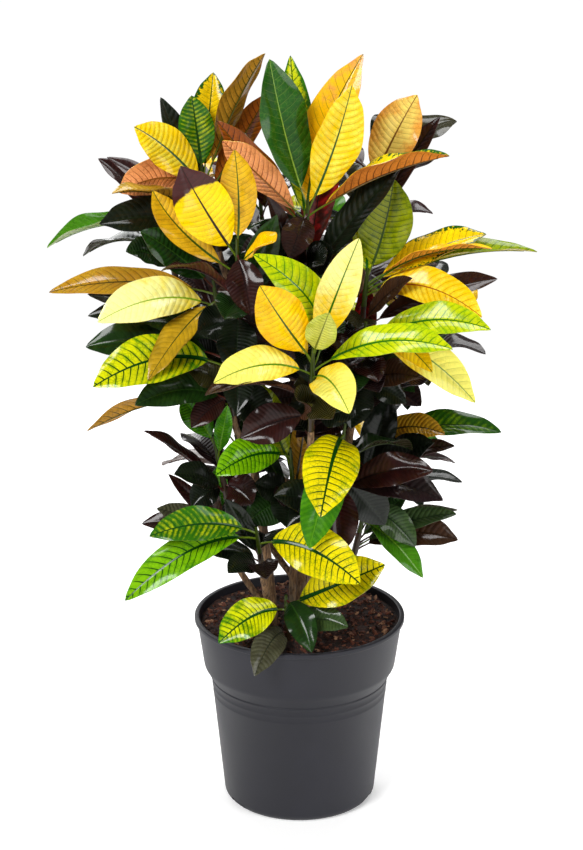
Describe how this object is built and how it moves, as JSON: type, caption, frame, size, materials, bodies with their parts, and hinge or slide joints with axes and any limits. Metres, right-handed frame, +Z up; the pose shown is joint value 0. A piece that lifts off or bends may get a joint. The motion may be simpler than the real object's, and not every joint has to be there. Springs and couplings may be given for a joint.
{
  "type": "potted croton",
  "caption": "Bushy croton shrub with leathery multicoloured leaves on woody stems, standing in soil in a round plastic nursery pot.",
  "frame": {"origin": "centre of the pot's flat underside, where it stands on the floor", "axes": "+Z up, along the pot's axis; -Y towards the viewer of the picture; +X to that viewer's right"},
  "size_m": [0.5351, 0.5092, 0.8658],
  "materials": {
    "pot_plastic": "satin anthracite",
    "potting_soil": "dark bark and peat crumbs",
    "woody_bark": "grey brown bark",
    "young_leaf": "glossy yellow with green veins",
    "old_leaf": "glossy dark maroon and green"
  },
  "bodies": {
    "root": {"pot": "pot_plastic", "soil": "potting_soil", "woody_stem_front_left": "woody_bark", "woody_stem_middle": "woody_bark", "woody_stem_right": "woody_bark", "woody_stem_front": "woody_bark", "woody_stem_back": "woody_bark", "shoot_01_young_leaves": "young_leaf", "shoot_01_old_leaves": "old_leaf", "shoot_02_young_leaves": "young_leaf", "shoot_02_old_leaves": "old_leaf", "shoot_03_young_leaves": "young_leaf", "shoot_03_old_leaves": "old_leaf", "shoot_04_young_leaves": "young_leaf", "shoot_04_old_leaves": "old_leaf", "shoot_05_young_leaves": "young_leaf", "shoot_05_old_leaves": "old_leaf", "shoot_06_young_leaves": "young_leaf", "shoot_06_old_leaves": "old_leaf", "shoot_07_young_leaves": "young_leaf", "shoot_07_old_leaves": "old_leaf", "shoot_08_young_leaves": "young_leaf", "shoot_08_old_leaves": "old_leaf", "shoot_09_young_leaves": "young_leaf", "shoot_09_old_leaves": "old_leaf", "shoot_10_young_leaves": "young_leaf", "shoot_10_old_leaves": "old_leaf", "shoot_11_young_leaves": "young_leaf", "shoot_11_old_leaves": "old_leaf", "shoot_12_young_leaves": "young_leaf", "shoot_12_old_leaves": "old_leaf", "shoot_13_young_leaves": "young_leaf", "shoot_13_old_leaves": "old_leaf", "shoot_14_young_leaves": "young_leaf", "shoot_14_old_leaves": "old_leaf", "shoot_15_young_leaves": "young_leaf", "shoot_15_old_leaves": "old_leaf", "shoot_16_young_leaves": "young_leaf", "shoot_16_old_leaves": "old_leaf", "shoot_17_young_leaves": "young_leaf", "shoot_17_old_leaves": "old_leaf", "shoot_18_young_leaves": "young_leaf", "shoot_18_old_leaves": "old_leaf", "shoot_19_young_leaves": "young_leaf", "shoot_19_old_leaves": "old_leaf", "shoot_20_young_leaves": "young_leaf", "shoot_20_old_leaves": "old_leaf", "shoot_21_young_leaves": "young_leaf", "shoot_21_old_leaves": "old_leaf", "shoot_22_young_leaves": "young_leaf", "shoot_22_old_leaves": "old_leaf", "shoot_23_young_leaves": "young_leaf", "shoot_23_old_leaves": "old_leaf", "shoot_24_young_leaves": "young_leaf", "shoot_24_old_leaves": "old_leaf", "shoot_25_young_leaves": "young_leaf", "shoot_25_old_leaves": "old_leaf"}
  },
  "joints": []
}
